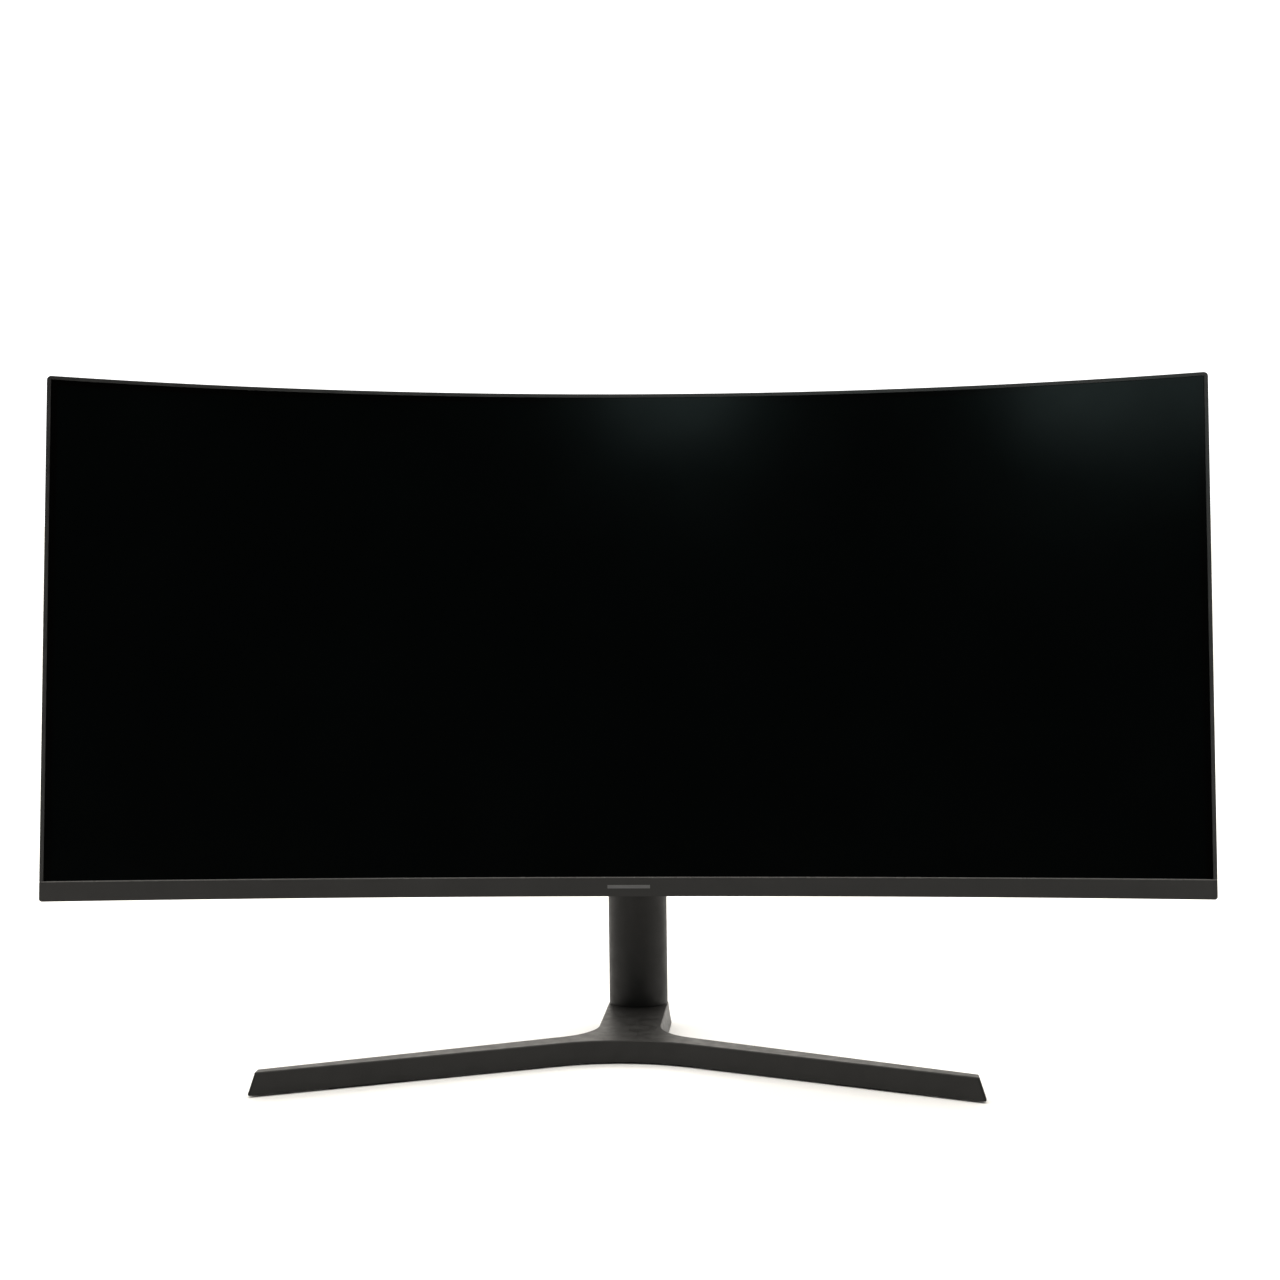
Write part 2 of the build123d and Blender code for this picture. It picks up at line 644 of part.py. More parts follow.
with BuildPart() as rear_cover:
    add(housing(HUMP_D, 0))
    add(curved_slab(-80, BEZEL_D + 0.1, HALF_W, -HALF_H, HALF_H), mode=Mode.SUBTRACT)
    add(curved_slab(BEZEL_D + 0.1, COVER_D, HALF_W, -HALF_H, HALF_H))
    corners = rear_cover.edges().filter_by(Axis((0, 0, 0), Plane(SCREEN).y_dir))
    fillet(corners, CORNER_R)
    add(
        curved_slab(
            BEZEL_D - 1, COVER_D - COVER_WALL, HALF_W - LIP, -HALF_H + LIP, HALF_H - LIP
        ),
        mode=Mode.SUBTRACT,
    )
    add(housing(HUMP_D - HUMP_WALL, 2.0), mode=Mode.SUBTRACT)
    wall = POCKET / 2 + HUMP_WALL
    add(block(SCREEN, (-wall, wall), (POCKET_D - HUMP_WALL, HUMP_D), (-wall, wall)))
    add(block(SCREEN, (-8, 8), (29, HUMP_D - 1), (SEAT_TOP - 2, SEAT_TOP)))
    add(
        block(SCREEN, (-POCKET / 2, POCKET / 2), (POCKET_D, HUMP_D + 5), (-POCKET / 2, POCKET / 2)),
        mode=Mode.SUBTRACT,
    )
    for x, z in SCREW_PLACES:
        at = along_curve(x) * Location((0, 0, z))
        add(rod(front(at, COVER_D - 0.5), 4.5, 5.3))
        add(rod(front(at, COVER_D + 1), 1.6, 8), mode=Mode.SUBTRACT)
        add(rod(front(at, COVER_D + 1), 3.1, 2.9), mode=Mode.SUBTRACT)
    with BuildSketch(front(SCREEN, POCKET_D + 1)):
        with Locations(MOUNT_POINTS):
            Circle(4.05)
        with Locations((-24, 29.5), (24, 29.5)):
            Rectangle(13, 13)
    extrude(amount=5, mode=Mode.SUBTRACT)
    add(block(SCREEN, (-9, 9), (28.4, 31.9), (-70, -60)), mode=Mode.SUBTRACT)
    add(block(SCREEN, (-13.6, 13.6), (38, HUMP_D + 3), (-83.2, -65.4)), mode=Mode.SUBTRACT)
    with BuildSketch(front(SCREEN, HUMP_D + 1)):
        with Locations((VIDEO_X[0], SOCKET_Z), (VIDEO_X[1], SOCKET_Z), (WIDE_VIDEO_X, SOCKET_Z)):
            Rectangle(17.4, 7)
        with Locations(AUDIO):
            Circle(4.3)
        with Locations(INLET):
            Rectangle(11, 13)
        for way in (-1, 1):
            with Locations((way * 107, 44)):
                with GridLocations(6, 0, 11, 1):
                    SlotOverall(26, 2.6, rotation=90)
    extrude(amount=5, mode=Mode.SUBTRACT)
    add(rod(front(JOY, COVER_D + 2), 7.2, 5), mode=Mode.SUBTRACT)
save(rear_cover.part, "rear_cover")

with BuildPart() as cover_screws:
    for x, z in SCREW_PLACES:
        at = along_curve(x) * Location((0, 0, z))
        add(rod(front(at, COVER_D - 0.4), 2.9, 1.4))
        add(rod(front(at, COVER_D - 1.8), 1.4, 6))
        recess = cross_recess(front(at, COVER_D - 0.4))
        add(recess, mode=Mode.SUBTRACT)
save(cover_screws.part, "cover_screws")

TRAY_NEAR = 16.8
TRAY_FAR = 18.0
TRAY_X = 145.0
TRAY_HOLE_R = 2.6  # room for the end of a mounting screw
INSERT_R = 4.0
INSERT_GAP = 0.3  # between an insert and the tray
THREAD_CORE_R = 1.65  # tapping hole of an M4 thread

with BuildPart() as mount_inserts:
    for x, z in MOUNT_POINTS:
        at = SCREEN * Location((x, 0, z))
        add(rod(front(at, POCKET_D), INSERT_R, POCKET_D - TRAY_FAR - INSERT_GAP, bore=THREAD_CORE_R))
save(mount_inserts.part, "mount_inserts")

# ------------------------------------------------------------------ electronics
with BuildPart() as board_tray:
    add(block(SCREEN, (-TRAY_X, TRAY_X), (TRAY_NEAR, TRAY_FAR), (-76, 66)))
    for way in (-1, 1):
        span = tuple(sorted((way * TRAY_X, way * (TRAY_X - 1.2))))
        add(block(SCREEN, span, (-0.3, TRAY_FAR), (-76, 66)))
    for slot_x in (-24, 24):
        add(block(SCREEN, (slot_x - 7, slot_x + 7), (15, 20), (22, 37)), mode=Mode.SUBTRACT)
    with BuildSketch(front(SCREEN, TRAY_FAR + 1)):
        with Locations(MOUNT_POINTS):
            Circle(TRAY_HOLE_R)
    extrude(amount=3, mode=Mode.SUBTRACT)
save(board_tray.part, "board_tray")

BOARD_NEAR = 20.0
BOARD_FAR = 21.6
BOARD_X = (-140.0, -70.0)
BOARD_Z = (-72.0, 58.0)
POST_X = [BOARD_X[0] + 4, BOARD_X[1] - 4]
POST_Z = [BOARD_Z[0] + 4, BOARD_Z[1] - 4]

with BuildPart() as board_posts:
    for way in (-1, 1):
        for x in POST_X:
            for z in POST_Z:
                at = SCREEN * Location((way * x, 0, z))
                add(rod(front(at, BOARD_NEAR - 0.1), 2.4, BOARD_NEAR - TRAY_FAR - 0.2))
save(board_posts.part, "board_posts")

with BuildPart() as main_board:
    add(block(SCREEN, BOARD_X, (BOARD_NEAR, BOARD_FAR), BOARD_Z))
save(main_board.part, "main_board")

with BuildPart() as board_chips:
    add(block(SCREEN, (-120, -98), (BOARD_FAR + 0.1, 23.6), (4, 26)))
    for x in (-86, -78):
        add(block(SCREEN, (x - 3, x + 3), (BOARD_FAR + 0.1, 22.8), (6, 16)))
    for x in (-130, -118, -106, -94):
        add(block(SCREEN, (x - 4, x + 4), (BOARD_FAR + 0.1, 23.0), (-26, -20)))
save(board_chips.part, "board_chips")

with BuildPart() as heat_sink:
    add(block(SCREEN, (-124, -94), (23.7, 26.2), (0, 30)))
    for fin in range(7):
        x = -122.5 + fin * 4.5
        add(block(SCREEN, (x - 0.7, x + 0.7), (26, 36), (0, 30)))
save(heat_sink.part, "heat_sink")

with BuildPart() as power_board:
    add(block(SCREEN, (-BOARD_X[1], -BOARD_X[0]), (BOARD_NEAR, BOARD_FAR), BOARD_Z))
save(power_board.part, "power_board")

with BuildPart() as power_parts:
    for x in (84, 98, 112):
        add(rod(front(SCREEN * Location((x, 0, -26)), 33), 5, 33 - BOARD_FAR - 0.1))
    add(block(SCREEN, (100, 126), (BOARD_FAR + 0.1, 34), (-4, 20)))
    add(block(SCREEN, (80, 92), (BOARD_FAR + 0.1, 29), (0, 12)))
save(power_parts.part, "power_parts")

with BuildPart() as timing_board:
    add(block(SCREEN, (-60, 60), (11.0, 12.2), (-148, -112)))
save(timing_board.part, "timing_board")

with BuildPart() as flat_cables:
    for way in (-1, 1):
        span = tuple(sorted((way * 18, way * 46)))
        add(block(SCREEN, span, (10.2, 10.5), (-164, -120)))
save(flat_cables.part, "flat_cables")


def socket(x, z, width, height, tongue):
    """Data socket: metal shell that opens to the back, with a contact tongue."""
    with BuildPart() as piece:
        add(block(SCREEN, (x - width / 2, x + width / 2), (BOARD_FAR + 0.1, HUMP_D - 0.8),
                  (z - height / 2, z + height / 2)))
        add(
            block(SCREEN, (x - width / 2 + 0.5, x + width / 2 - 0.5), (32, HUMP_D),
                  (z - height / 2 + 0.5, z + height / 2 - 0.5)),
            mode=Mode.SUBTRACT,
        )
        add(block(SCREEN, (x - tongue / 2, x + tongue / 2), (31, 40), (z - 0.6, z + 0.6)))
    return piece.part


with BuildPart() as video_sockets:
    for x in VIDEO_X:
        add(socket(x, SOCKET_Z, 15.0, 5.6, 11.0))
save(video_sockets.part, "video_sockets")

with BuildPart() as wide_video_socket:
    add(socket(WIDE_VIDEO_X, SOCKET_Z, 16.6, 6.0, 13.0))
save(wide_video_socket.part, "wide_video_socket")

AUDIO_R = 1.8
AUDIO_AT = SCREEN * Location((AUDIO[0], 0, AUDIO[1]))

with BuildPart() as audio_jack:
    add(block(AUDIO_AT, (-4, 4), (BOARD_FAR + 0.1, 38), (-4, 4)))
    add(rod(front(AUDIO_AT, HUMP_D - 0.6), 4.0, 5))
    add(rod(front(AUDIO_AT, HUMP_D + 1), AUDIO_R, 15), mode=Mode.SUBTRACT)
save(audio_jack.part, "audio_jack")

INLET_AT = SCREEN * Location((INLET[0], 0, INLET[1]))

with BuildPart() as power_inlet:
    add(block(INLET_AT, (-5, 5), (BOARD_FAR + 0.1, HUMP_D - 0.6), (-6, 6)))
    add(rod(front(INLET_AT, HUMP_D + 1), 3.25, 11), mode=Mode.SUBTRACT)
    add(rod(front(INLET_AT, HUMP_D - 2), 0.6, 10))
save(power_inlet.part, "power_inlet")

# ------------------------------------------------------------------ joystick
JOY_PIVOT_D = 12.4

with BuildPart() as joystick_board:
    add(block(JOY, (-11, 11), (9.8, 10.8), (-8, 8)))
save(joystick_board.part, "joystick_board")

with BuildPart() as joystick_gimbal:
    add(rod(front(JOY, JOY_PIVOT_D + 0.7), 4.2, 1.4, bore=2.9))
save(joystick_gimbal.part, "joystick_gimbal")

with BuildPart() as joystick_stem:
    add(rod(front(JOY, 17.5), 1.4, 17.5 - 11.9))
    add(rod(front(JOY, JOY_PIVOT_D + 0.4), 2.3, 0.8))
save(joystick_stem.part, "joystick_stem")

with BuildPart() as joystick_knob:
    add(rod(front(JOY, 20.6), 5.2, 5.4))
    rim = joystick_knob.edges().filter_by(GeomType.CIRCLE).sort_by(Axis.Y)[-1]
    fillet(rim, 1.2)
    add(rod(front(JOY, 18.6), 1.4 + RUN, 6), mode=Mode.SUBTRACT)
save(joystick_knob.part, "joystick_knob")
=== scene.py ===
import math

import bmesh
import bpy
from mathutils import Euler, Matrix, Vector


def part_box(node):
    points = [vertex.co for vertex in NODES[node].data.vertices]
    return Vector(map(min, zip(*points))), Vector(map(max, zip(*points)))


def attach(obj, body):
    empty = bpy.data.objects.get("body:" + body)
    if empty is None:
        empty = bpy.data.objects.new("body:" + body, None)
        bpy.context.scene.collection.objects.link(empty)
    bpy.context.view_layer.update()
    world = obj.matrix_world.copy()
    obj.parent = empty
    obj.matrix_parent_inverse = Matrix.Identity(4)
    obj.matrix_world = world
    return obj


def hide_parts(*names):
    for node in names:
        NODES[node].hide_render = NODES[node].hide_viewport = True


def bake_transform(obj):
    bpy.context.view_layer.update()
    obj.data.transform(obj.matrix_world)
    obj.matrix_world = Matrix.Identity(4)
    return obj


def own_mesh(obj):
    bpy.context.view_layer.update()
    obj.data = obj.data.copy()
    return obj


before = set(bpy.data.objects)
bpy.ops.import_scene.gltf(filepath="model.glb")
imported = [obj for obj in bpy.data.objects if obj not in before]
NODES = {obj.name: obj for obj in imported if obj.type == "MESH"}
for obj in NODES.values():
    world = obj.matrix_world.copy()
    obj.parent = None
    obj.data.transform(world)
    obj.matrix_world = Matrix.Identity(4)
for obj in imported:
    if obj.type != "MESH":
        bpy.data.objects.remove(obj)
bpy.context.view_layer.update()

# ------------------------------------------------------------------ places on the object
# The screen's own frame: x along its width, y into the screen, z up.
# Its origin is on the middle of the front. PAN, TILT and LEVEL are in degrees.
PAN, TILT, LEVEL = 4.0, 7.6, 0.5
PIVOT = Vector((0.0, -0.050, 0.2895))
PIVOT_D = 0.0488
SCREEN = (
    Matrix.Translation(PIVOT)
    @ Matrix.Rotation(math.radians(PAN), 4, "Z")
    @ Matrix.Rotation(math.radians(-TILT), 4, "X")
    @ Matrix.Rotation(math.radians(LEVEL), 4, "Y")
    @ Matrix.Translation((0.0, -PIVOT_D, 0.0))
)
SCREEN_W = 0.791
SCREEN_H = 0.3574
CURVE_R = 1.0
UPRIGHT = Matrix.Identity(4)


# ------------------------------------------------------------------ node helpers
# A wave texture of scale 1 repeats every 0.314 m.
WAVE_UNIT = 0.314
# Mix node, RGBA: its two colour inputs and its colour output.
MIX_FIRST, MIX_SECOND, MIX_RESULT = 6, 7, 2


class Nodes:
    """A material's node tree with short calls for what the finishes below share."""

    def __init__(self, name):
        self.material = bpy.data.materials.new(name)
        self.material.use_nodes = True
        self.tree = self.material.node_tree
        self.shader = next(n for n in self.tree.nodes if n.type == "BSDF_PRINCIPLED")
        self.place = self.tree.nodes.new("ShaderNodeTexCoord").outputs["Object"]

    def new(self, kind, **values):
        node = self.tree.nodes.new(kind)
        for key, value in values.items():
            setattr(node, key, value)
        return node

    def link(self, source, target):
        self.tree.links.new(source, target)

    def set(self, **values):
        for key, value in values.items():
            self.shader.inputs[key.replace("_", " ")].default_value = value

    def stretched(self, scale, turn=(0.0, 0.0, 0.0), frame_matrix=None):
        """Object coordinates, optionally in another frame, scaled along each axis."""
        source = self.place
        if frame_matrix is not None:
            inside = self.new("ShaderNodeMapping", vector_type="TEXTURE")
            inside.inputs["Location"].default_value = frame_matrix.translation
            inside.inputs["Rotation"].default_value = frame_matrix.to_euler("XYZ")
            self.link(source, inside.inputs["Vector"])
            source = inside.outputs["Vector"]
        mapping = self.new("ShaderNodeMapping")
        mapping.inputs["Rotation"].default_value = Euler(turn)
        mapping.inputs["Scale"].default_value = scale
        self.link(source, mapping.inputs["Vector"])
        return mapping.outputs["Vector"]

    def noise(self, size, detail=3.0, rough=0.55, vector=None):
        """Noise whose blotches are about this many metres across."""
        node = self.new("ShaderNodeTexNoise")
        node.inputs["Scale"].default_value = 1.0 / size
        node.inputs["Detail"].default_value = detail
        node.inputs["Roughness"].default_value = rough
        self.link(vector or self.place, node.inputs["Vector"])
        return node.outputs["Fac"]

    def cells(self, size, feature="F1", output="Distance"):
        """Cells about this many metres across."""
        node = self.new("ShaderNodeTexVoronoi", feature=feature)
        node.inputs["Scale"].default_value = 1.0 / size
        self.link(self.place, node.inputs["Vector"])
        return node.outputs[output]

    def waves(self, size, direction, vector=None):
        """Bands this many metres apart."""
        node = self.new("ShaderNodeTexWave", wave_type="BANDS", bands_direction=direction)
        node.inputs["Scale"].default_value = WAVE_UNIT / size
        node.inputs["Distortion"].default_value = 0.0
        self.link(vector or self.place, node.inputs["Vector"])
        return node.outputs["Fac"]

    def ramp(self, value, low, high, start=0.35, stop=0.65):
        """Maps a texture value to the range low to high."""
        node = self.new("ShaderNodeMapRange")
        node.inputs["From Min"].default_value = start
        node.inputs["From Max"].default_value = stop
        node.inputs["To Min"].default_value = low
        node.inputs["To Max"].default_value = high
        self.link(value, node.inputs["Value"])
        return node.outputs["Result"]

    def mix(self, factor, first, second):
        """Colour between two colours, each a tuple or a socket."""
        node = self.new("ShaderNodeMix", data_type="RGBA")
        self.link(factor, node.inputs[0])
        for index, colour in ((MIX_FIRST, first), (MIX_SECOND, second)):
            if isinstance(colour, tuple):
                node.inputs[index].default_value = (*colour, 1.0)
            else:
                self.link(colour, node.inputs[index])
        return node.outputs[MIX_RESULT]

    def maths(self, operation, first, second):
        node = self.new("ShaderNodeMath", operation=operation)
        for socket, value in zip(node.inputs, (first, second)):
            if isinstance(value, (int, float)):
                socket.default_value = value
            else:
                self.link(value, socket)
        return node.outputs[0]

    def colour(self, socket):
        self.link(socket, self.shader.inputs["Base Color"])

    def roughness(self, socket):
        self.link(socket, self.shader.inputs["Roughness"])

    def bump(self, height, depth, strength=1.0, under=None):
        """Adds relief of a real depth in metres, on top of an earlier relief if given."""
        node = self.new("ShaderNodeBump")
        node.inputs["Distance"].default_value = depth
        node.inputs["Strength"].default_value = strength
        self.link(height, node.inputs["Height"])
        if under is not None:
            self.link(under, node.inputs["Normal"])
        self.link(node.outputs["Normal"], self.shader.inputs["Normal"])
        return node.outputs["Normal"]


def shade(colour, factor):
    """A colour made darker or lighter."""
    return tuple(min(1.0, c * factor) for c in colour)


# ------------------------------------------------------------------ finishes
def moulded(name, colour, rough, grain=0.00045, depth=0.00002, specular=0.5, vary=0.18):
    """Moulded plastic with a spark-eroded grain."""
    m = Nodes(name)
    m.colour(m.mix(m.noise(0.03, 4), shade(colour, 1 - vary), shade(colour, 1 + vary)))
    m.roughness(m.ramp(m.noise(0.012, 3), rough - 0.05, rough + 0.05))
    m.set(Specular_IOR_Level=specular)
    fine = m.bump(m.noise(grain, 2, 0.7), depth, 0.8)
    m.bump(m.cells(grain * 2.2, "SMOOTH_F1"), depth * 0.8, 0.5, fine)
    return m.material


def painted(name, colour, rough, peel=0.0014, grain=0.0004, specular=0.5):
    """Baked paint on metal: a fine grain over a faint orange peel."""
    m = Nodes(name)
    cloud = m.mix(m.noise(0.05, 5), shade(colour, 0.88), shade(colour, 1.12))
    fleck = m.ramp(m.noise(grain, 1), 0.0, 1.0, 0.55, 0.8)
    m.colour(m.mix(fleck, cloud, shade(colour, 1.7)))
    m.roughness(m.ramp(m.noise(0.009, 4), rough - 0.06, rough + 0.06))
    m.set(Specular_IOR_Level=specular)
    low = m.bump(m.noise(peel, 2), 0.000012, 0.7)
    m.bump(m.noise(grain, 2, 0.65), 0.000016, 0.8, low)
    return m.material


def metal(name, colour, rough, kind="cast", scale=0.002, axis="Z"):
    """Bare or plated metal: cast, brushed along X or Z, or spangled."""
    m = Nodes(name)
    m.set(Metallic=1.0)
    stain = m.noise(0.008, 5)
    if kind == "cast":
        surface = m.noise(scale, 4, 0.7)
        depth = 0.00005
    elif kind == "spangle":
        surface = m.cells(scale, output="Color")
        depth = 0.0
    else:
        long = {"X": (0.02, 1, 1), "Z": (1, 1, 0.02)}[axis]
        surface = m.noise(scale, 3, 0.6, m.stretched(long))
        depth = 0.000012
    tone = m.mix(surface, shade(colour, 0.82), shade(colour, 1.12))
    m.colour(m.mix(m.ramp(stain, 0.0, 0.35), tone, shade(colour, 0.7)))
    m.roughness(m.ramp(surface, rough - 0.07, rough + 0.09))
    if depth:
        m.bump(surface, depth, 0.6)
    else:
        m.bump(m.noise(0.0006, 2), 0.000008, 0.4)
    return m.material


# The glass starts this far inside the screen's outline, and its black border is this wide.
GLASS_INSET = 0.0024
GLASS_BORDER = 0.0042


def screen_glass():
    """Unlit panel behind an anti-glare film: black border, faintly green-grey picture area."""
    m = Nodes("panel_film")
    local = m.stretched((1.0, 1.0, 1.0), frame_matrix=SCREEN)
    parts = m.new("ShaderNodeSeparateXYZ")
    m.link(local, parts.inputs[0])
    rim = GLASS_INSET + GLASS_BORDER
    across = m.maths("ABSOLUTE", parts.outputs["X"], 0.0)
    over = m.maths("GREATER_THAN", across, SCREEN_W / 2 - rim)
    top = m.maths("GREATER_THAN", parts.outputs["Z"], SCREEN_H / 2 - rim)
    edge = m.maths("MAXIMUM", over, top)
    cloud = m.mix(m.noise(0.11, 2), (0.0002, 0.0004, 0.0004), (0.0005, 0.0010, 0.0010))
    m.colour(m.mix(edge, cloud, (0.0003, 0.0003, 0.0003)))
    m.roughness(m.ramp(m.noise(0.07, 4), 0.13, 0.16))
    m.set(Specular_IOR_Level=0.075)
    m.bump(m.noise(0.00025, 2, 0.7), 0.0000012, 0.6)
    return m.material


def circuit_board():
    """Green solder mask over copper tracks and pads."""
    m = Nodes("circuit_board")
    cell = m.new("ShaderNodeTexBrick", offset=0.35)
    cell.inputs["Scale"].default_value = 160.0
    cell.inputs["Mortar Size"].default_value = 0.03
    cell.inputs["Color1"].default_value = (0.012, 0.075, 0.028, 1.0)
    cell.inputs["Color2"].default_value = (0.008, 0.055, 0.022, 1.0)
    cell.inputs["Mortar"].default_value = (0.03, 0.17, 0.06, 1.0)
    m.link(m.stretched((1, 1, 1), (math.radians(90), 0, 0)), cell.inputs["Vector"])
    pads = m.ramp(m.cells(0.0034), 1.0, 0.0, 0.10, 0.14)
    m.colour(m.mix(pads, cell.outputs["Color"], (0.75, 0.72, 0.62)))
    m.link(pads, m.shader.inputs["Metallic"])
    m.roughness(m.ramp(m.noise(0.004, 3), 0.24, 0.36))
    m.bump(cell.outputs["Fac"], 0.00003, 0.6)
    return m.material


def chip_black():
    """Matte moulding compound of chips and capacitors' sleeves."""
    m = Nodes("chip_black")
    speck = m.ramp(m.noise(0.0003, 1), 0.0, 1.0, 0.6, 0.7)
    m.colour(m.mix(speck, (0.012, 0.012, 0.013), (0.05, 0.05, 0.052)))
    m.roughness(m.ramp(m.noise(0.002, 3), 0.5, 0.66))
    m.bump(m.noise(0.00035, 2), 0.00001, 0.8)
    return m.material


def rubber(name, colour):
    """Soft rubber with a fine matt skin and a little dust in the low spots."""
    m = Nodes(name)
    dust = m.ramp(m.noise(0.0022, 5, 0.7), 0.0, 1.0, 0.5, 0.75)
    m.colour(m.mix(dust, colour, shade(colour, 2.2)))
    m.roughness(m.ramp(m.noise(0.005, 3), 0.72, 0.88))
    m.bump(m.noise(0.0003, 3, 0.7), 0.00003, 0.8)
    return m.material


def film(name, colour, rough, transmission=0.0):
    """Optical film or sheet with a faint dot pattern."""
    m = Nodes(name)
    dots = m.ramp(m.cells(0.0011), 1.0, 0.0, 0.18, 0.3)
    m.colour(m.mix(dots, colour, shade(colour, 0.86)))
    m.roughness(m.ramp(m.noise(0.02, 3), rough - 0.04, rough + 0.06))
    m.set(Transmission_Weight=transmission, IOR=1.49)
    m.bump(dots, 0.000012, 0.5)
    return m.material


KNURL_PITCH = 0.0007


def knurled(name, colour, rough):
    """Knurled brass insert."""
    m = Nodes(name)
    m.set(Metallic=1.0)
    stain = m.noise(0.0016, 4)
    m.colour(m.mix(stain, shade(colour, 0.75), shade(colour, 1.1)))
    m.roughness(m.ramp(stain, rough - 0.06, rough + 0.1))
    one = m.waves(KNURL_PITCH, "DIAGONAL")
    other = m.waves(KNURL_PITCH, "DIAGONAL", m.stretched((-1, 1, 1)))
    m.bump(m.maths("MULTIPLY", one, other), 0.00006, 0.5)
    return m.material


def badge():
    """Plain inlaid bar of satin aluminium, brushed along its length."""
    m = Nodes("badge_bar")
    m.set(Metallic=0.85)
    streak = m.noise(0.00035, 3, 0.6, m.stretched((0.03, 1, 1), (0, 0, 0), SCREEN))
    m.colour(m.mix(streak, (0.10, 0.10, 0.103), (0.17, 0.17, 0.174)))
    m.roughness(m.ramp(streak, 0.34, 0.5))
    m.bump(streak, 0.000006, 0.6)
    return m.material


BASE_BLACK = (0.0082, 0.0080, 0.0074)
COLUMN_BLACK = (0.0088, 0.0086, 0.0080)
# The finish of each material slot of the CAD.
FINISHES = {
    "base_paint": painted("base_powder", BASE_BLACK, 0.42, specular=0.28),
    "column_paint": painted("column_satin", COLUMN_BLACK, 0.52, peel=0.002, specular=0.26),
    "core_steel": metal("core_zinc", (0.55, 0.56, 0.57), 0.38, "spangle", 0.004),
    "bezel_plastic": moulded("bezel_grain", (0.0115, 0.0115, 0.0118), 0.36, 0.0003, 0.00001),
    "chin_plastic": moulded("chin_grain", (0.0152, 0.0149, 0.0146), 0.46, 0.0005, 0.00002, 0.3),
    "cover_plastic": moulded("cover_grain", (0.0130, 0.0128, 0.0126), 0.56, 0.0007, 0.00002, 0.42),
    "badge_metal": badge(),
    "screen_glass": screen_glass(),
    "sheet_white": film("reflector_film", (0.84, 0.85, 0.85), 0.42),
    "guide_acrylic": film("guide_acrylic", (0.86, 0.92, 0.93), 0.12, 0.7),
    "sheet_steel": metal("sheet_galvanised", (0.52, 0.54, 0.55), 0.36, "spangle", 0.006),
    "board_green": circuit_board(),
    "part_black": chip_black(),
    "socket_metal": metal("socket_nickel", (0.72, 0.70, 0.66), 0.27, "brushed", 0.0005, "X"),
    "heat_sink_metal": metal("sink_anodised", (0.16, 0.16, 0.165), 0.42, "brushed", 0.0004, "Z"),
    "spring_steel": metal("spring_blued", (0.30, 0.31, 0.34), 0.3, "brushed", 0.0005, "Z"),
    "hinge_steel": metal("hinge_plated", (0.34, 0.34, 0.345), 0.42, "cast", 0.0012),
    "shaft_steel": metal("shaft_ground", (0.58, 0.58, 0.59), 0.26, "brushed", 0.0003, "X"),
    "cast_metal": metal("cast_zinc", (0.30, 0.30, 0.305), 0.52, "cast", 0.0009),
    "screw_steel": metal("screw_black_zinc", (0.09, 0.09, 0.095), 0.34, "brushed", 0.0003, "Z"),
    "insert_brass": knurled("insert_brass", (0.78, 0.56, 0.25), 0.32),
    "glide_white": moulded("glide_acetal", (0.72, 0.71, 0.68), 0.4, 0.0008, 0.00001, vary=0.04),
    "pad_rubber": rubber("pad_rubber", (0.016, 0.016, 0.016)),
    "strip_white": moulded("strip_mask", (0.75, 0.76, 0.74), 0.36, 0.0006, 0.00001, vary=0.05),
    "button_plastic": moulded("button_grain", (0.030, 0.030, 0.031), 0.5, 0.0006, 0.00003),
}

for node_object in NODES.values():
    for material_slot in node_object.material_slots:
        material_slot.material = FINISHES[material_slot.material.name.split(".")[0]]


# ------------------------------------------------------------------ new pieces
def piece(name, mesh_maker, matrix, body, slot):
    """Makes a smooth mesh piece, puts it in place, and says which body it rides on, if one."""
    made = bmesh.new()
    mesh_maker(made)
    made.transform(matrix)
    data = bpy.data.meshes.new(name)
    bmesh.ops.recalc_face_normals(made, faces=made.faces[:])
    made.to_mesh(data)
    made.free()
    for polygon in data.polygons:
        polygon.use_smooth = True
    data.materials.append(FINISHES[slot])
    thing = bpy.data.objects.new(name, data)
    bpy.context.scene.collection.objects.link(thing)
    if body is not None:
        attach(thing, body)
    return thing


WIRE_SIDES = 8


def tube(made, points, radius):
    """Round wire along a list of points, closed at both ends."""
    rings = []
    normal = None
    for index, point in enumerate(points):
        ahead = points[min(index + 1, len(points) - 1)]
        behind = points[max(index - 1, 0)]
        tangent = (ahead - behind).normalized()
        if normal is None:
            normal = tangent.orthogonal().normalized()
        normal = (normal - tangent * normal.dot(tangent)).normalized()
        other = tangent.cross(normal)
        ring = []
        for k in range(WIRE_SIDES):
            a = 2 * math.pi * k / WIRE_SIDES
            outward = math.cos(a) * normal + math.sin(a) * other
            ring.append(made.verts.new(point + radius * outward))
        rings.append(ring)
    for first, second in zip(rings, rings[1:]):
        for k in range(WIRE_SIDES):
            n = (k + 1) % WIRE_SIDES
            made.faces.new((first[k], first[n], second[n], second[k]))
    made.faces.new(rings[0][::-1])
    made.faces.new(rings[-1])


def on_curve(x, depth, z):
    """Point on the curved front, at a distance along the chord, a depth behind it and a height."""
    turn = math.asin(x / CURVE_R)
    reach = CURVE_R + depth
    return Vector((math.sin(turn) * reach, math.cos(turn) * reach - CURVE_R, z))


CHIN_HEIGHT = 0.0135
CHIN_TOP = -SCREEN_H / 2 + CHIN_HEIGHT
BEAD_R = 0.00045
BEAD_END_GAP = 0.0011
BEAD_HALF = SCREEN_W / 2 - BEAD_END_GAP
BEAD_DEPTH = 0.00030
BEAD_STEPS = 120


